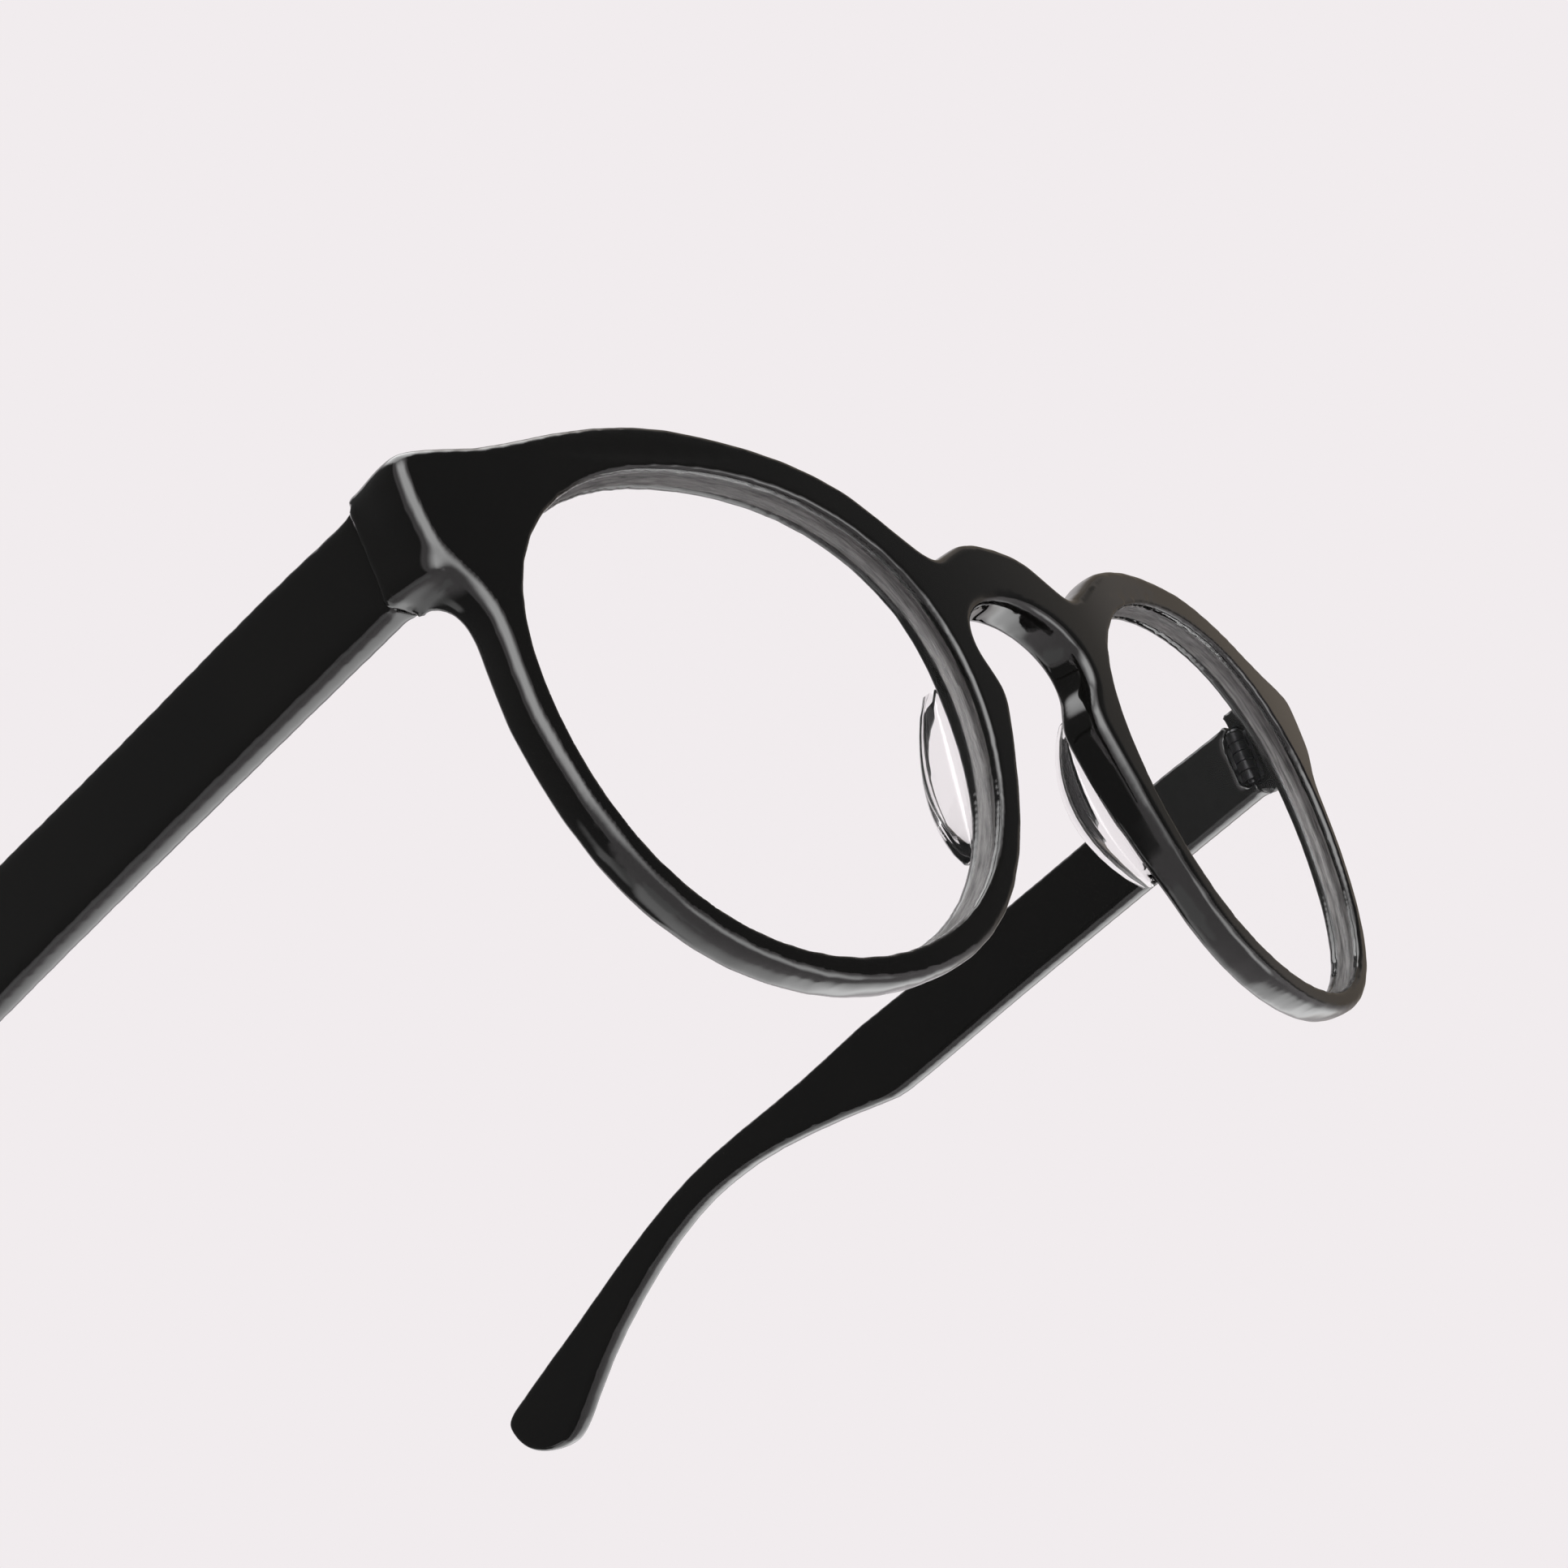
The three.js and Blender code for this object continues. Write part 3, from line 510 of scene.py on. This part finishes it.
def layOnSheet(piece):  # exact normals on the two formed faces, which blend into the rounded edges
    mesh = piece.data
    normals = [vertex.normal.copy() for vertex in mesh.vertices]
    turnFrom, turnTo = formedFaces["turnFrom"], formedFaces["turnTo"]
    for vertex in mesh.vertices:
        depth, outward = sheetDepthAndNormal(vertex.co)
        if abs(depth - sheet["thickness"]) < formedFaces["near"]:
            outward = -outward
        elif abs(depth) > formedFaces["near"]:
            continue
        share = smooth((vertex.normal.dot(outward) - turnFrom) / (turnTo - turnFrom))
        normals[vertex.index] = vertex.normal.lerp(outward, share).normalized()
    mesh.normals_split_custom_set_from_vertices(normals)


sideSigns = {"left": 1, "right": -1}
front = dress(
    "front_frame", "front_polished", "front", frontAcetate, frontRubbing,
    [(block, sign) for block in ("cheek", "sole", "frontFilling") for sign in sideSigns.values()])
layOnSheet(front)
print("front dressed")

for side, sign in sideSigns.items():
    arm = f"{side}_arm"
    dress(
        f"temple_{side}", f"temple_polished_{side}", arm, acetate, templeRubbing,
        [("armFilling", sign)])
    dress(f"temple_hinge_leaf_{side}", f"temple_leaf_{side}", arm, hingeSteel)
    dress(f"core_wire_{side}", f"core_{side}", arm, coreSteel)
    dress(f"front_hinge_leaf_{side}", f"front_leaf_{side}", "front", hingeSteel)
    dress(f"hinge_screw_{side}", f"screw_{side}", "front", hingeSteel)
    dress(f"nose_pad_{side}", f"pad_{side}", "front", clearPad)
    dress(f"lens_{side}", f"lens_clear_{side}", "front", lensResin)
print("temples, hinges, pads and lenses dressed")

# Pale studio, in metres: what is seen directly, what lights the pieces, and the floor
studio = {
    "background": (0.880, 0.839, 0.855, 1),
    "white": (1, 1, 1, 1),
    "fill": 0.58,
    "floorSize": 6,
    "floorColour": (0.80, 0.77, 0.78, 1),
}


def addWorld():
    world = bpy.data.worlds.new("studio")
    bpy.context.scene.world = world
    shader = Shader(world)
    seen = shader.rayKind("Camera") + shader.rayKind("Glossy") + shader.rayKind("Transmission")
    plain = shader.add("ShaderNodeBackground", {}, {"Color": studio["white"], "Strength": studio["fill"]})
    shown = shader.add("ShaderNodeBackground", {}, {"Color": studio["background"], "Strength": 1.0})
    shader.close(shader.mixedShaders(seen, plain, shown), "ShaderNodeOutputWorld")


def addFloor():  # shows from above only, as the photograph looks up from below it, and in no reflection
    bpy.ops.mesh.primitive_plane_add(size=studio["floorSize"], location=(0, 0, 0))
    floor = bpy.context.active_object
    floor.name = "floor"
    material, shader = addMaterial("paleFloor")
    under = shader.add("ShaderNodeNewGeometry", {}, {}, "Backfacing")
    pale = shader.add("ShaderNodeBsdfDiffuse", {}, {"Color": studio["floorColour"]})
    clear = shader.add("ShaderNodeBsdfTransparent", {}, {})
    shader.close(shader.mixedShaders(under + shader.rayKind("Glossy"), pale, clear))
    floor.data.materials.append(material)


# What the polished pieces mirror: dark and lit panels of a tent that only reflections see, in degrees.
# Turn goes from the front, -Y, round to +X, and rise up from the table. A panel covers the ones below it
# in the list, and the pale studio fills the rest. The warm wall tints what shows where it is.
tentPanels = {
    "overhead": {"turn": (-180, 180), "rise": (62, 100), "level": 4, "soft": 6},
    "warmWall": {"turn": (64, 112), "rise": (-8, 62), "level": 0.26, "soft": 14},
    "frontFlag": {"turn": (14, 70), "rise": (-6, 58), "level": 0.09, "soft": 5},
    "underPatch": {"turn": (-156, -144), "rise": (-31, -19), "level": 1.2, "soft": 3},
    "lowPatch": {"turn": (-160, -115), "rise": (-66, -44), "level": 1.1, "soft": 3},
    "sideFlag": {"turn": (-190, -98), "rise": (-33, 58), "level": 0.13, "soft": 5},
    "frontStrip": {"turn": (-66, -8), "rise": (-14, 52), "level": 7, "soft": 18},
    "lowStrip": {"turn": (-12, 46), "rise": (-46, -24), "level": 5, "soft": 11},
    "tableGlow": {"turn": (90, 134), "rise": (-52, -16), "level": 2.5, "soft": 8},
    "backTable": {"turn": (78, 215), "rise": (-50, -14), "level": 1.7, "soft": 8},
}
tent = {"radius": 1.2, "segments": 48, "rings": 24, "white": (1, 1, 1, 1), "warm": (1, 0.86, 0.72, 1)}


def panelMask(shader, direction, setting):
    turnLow, turnHigh = (math.radians(angle) for angle in setting["turn"])
    riseLow, riseHigh = (math.radians(angle) for angle in setting["rise"])
    soft = math.radians(setting["soft"])
    turned = shader.add("ShaderNodeVectorRotate", {"rotation_type": "Z_AXIS"}, {
        "Vector": direction, "Angle": -(turnLow + turnHigh) / 2,
    })
    x, y, z = shader.parts(turned)
    away = shader.maths("ABSOLUTE", shader.maths("ARCTAN2", x, -1 * y))
    rise = shader.maths("ARCSINE", z)
    half = (turnHigh - turnLow) / 2
    across = 1 - shader.ramp(away, half - soft, half + soft)
    above = shader.ramp(rise, riseLow - soft, riseLow + soft)
    below = 1 - shader.ramp(rise, riseHigh - soft, riseHigh + soft)
    return across * above * below


def addTent():
    bpy.ops.mesh.primitive_uv_sphere_add(
        segments=tent["segments"], ring_count=tent["rings"], radius=tent["radius"], location=(0, 0, 0))
    sphere = bpy.context.active_object
    sphere.name = "reflectionTent"
    material, shader = addMaterial("tentPanels")
    direction = shader.add("ShaderNodeVectorMath", {"operation": "NORMALIZE"}, {0: shader.place()})
    masks = {name: panelMask(shader, direction, setting) for name, setting in tentPanels.items()}
    warm = masks["warmWall"] * (1 - masks["overhead"])
    tint = shader.mixed(warm, tent["white"], tent["warm"])
    clear = shader.add("ShaderNodeBsdfTransparent", {}, {})
    surface = clear
    for name, setting in reversed(tentPanels.items()):
        glow = shader.add("ShaderNodeEmission", {}, {"Color": tint, "Strength": setting["level"]})
        surface = shader.mixedShaders(masks[name], surface, glow)
    shader.close(shader.mixedShaders(shader.rayKind("Transmission"), surface, clear))
    sphere.data.materials.append(material)
    for kind in ("camera", "diffuse", "shadow", "transmission", "volume_scatter"):
        setattr(sphere, f"visible_{kind}", False)


# Soft lamps that no reflection shows, in metres from the middle of the footprint
softboxes = {
    "key": {"from": (-0.5, -0.7, 0.9), "away": 0.9, "size": 0.5, "watts": 3.8},
    "fill": {"from": (0.9, 0.3, 0.7), "away": 1.0, "size": 0.6, "watts": 2.8},
}


def addSoftbox(name, setting):
    data = bpy.data.lights.new(name, "AREA")
    data.size = setting["size"]
    data.energy = setting["watts"]
    light = bpy.data.objects.new(name, data)
    bpy.context.scene.collection.objects.link(light)
    way = Vector(setting["from"]).normalized()
    light.location = way * setting["away"]
    light.rotation_euler = way.to_track_quat("Z", "Y").to_euler()
    light.visible_glossy = False
    light.visible_transmission = False


addWorld()
addFloor()
addTent()
for name, setting in softboxes.items():
    addSoftbox(name, setting)
print("studio set")
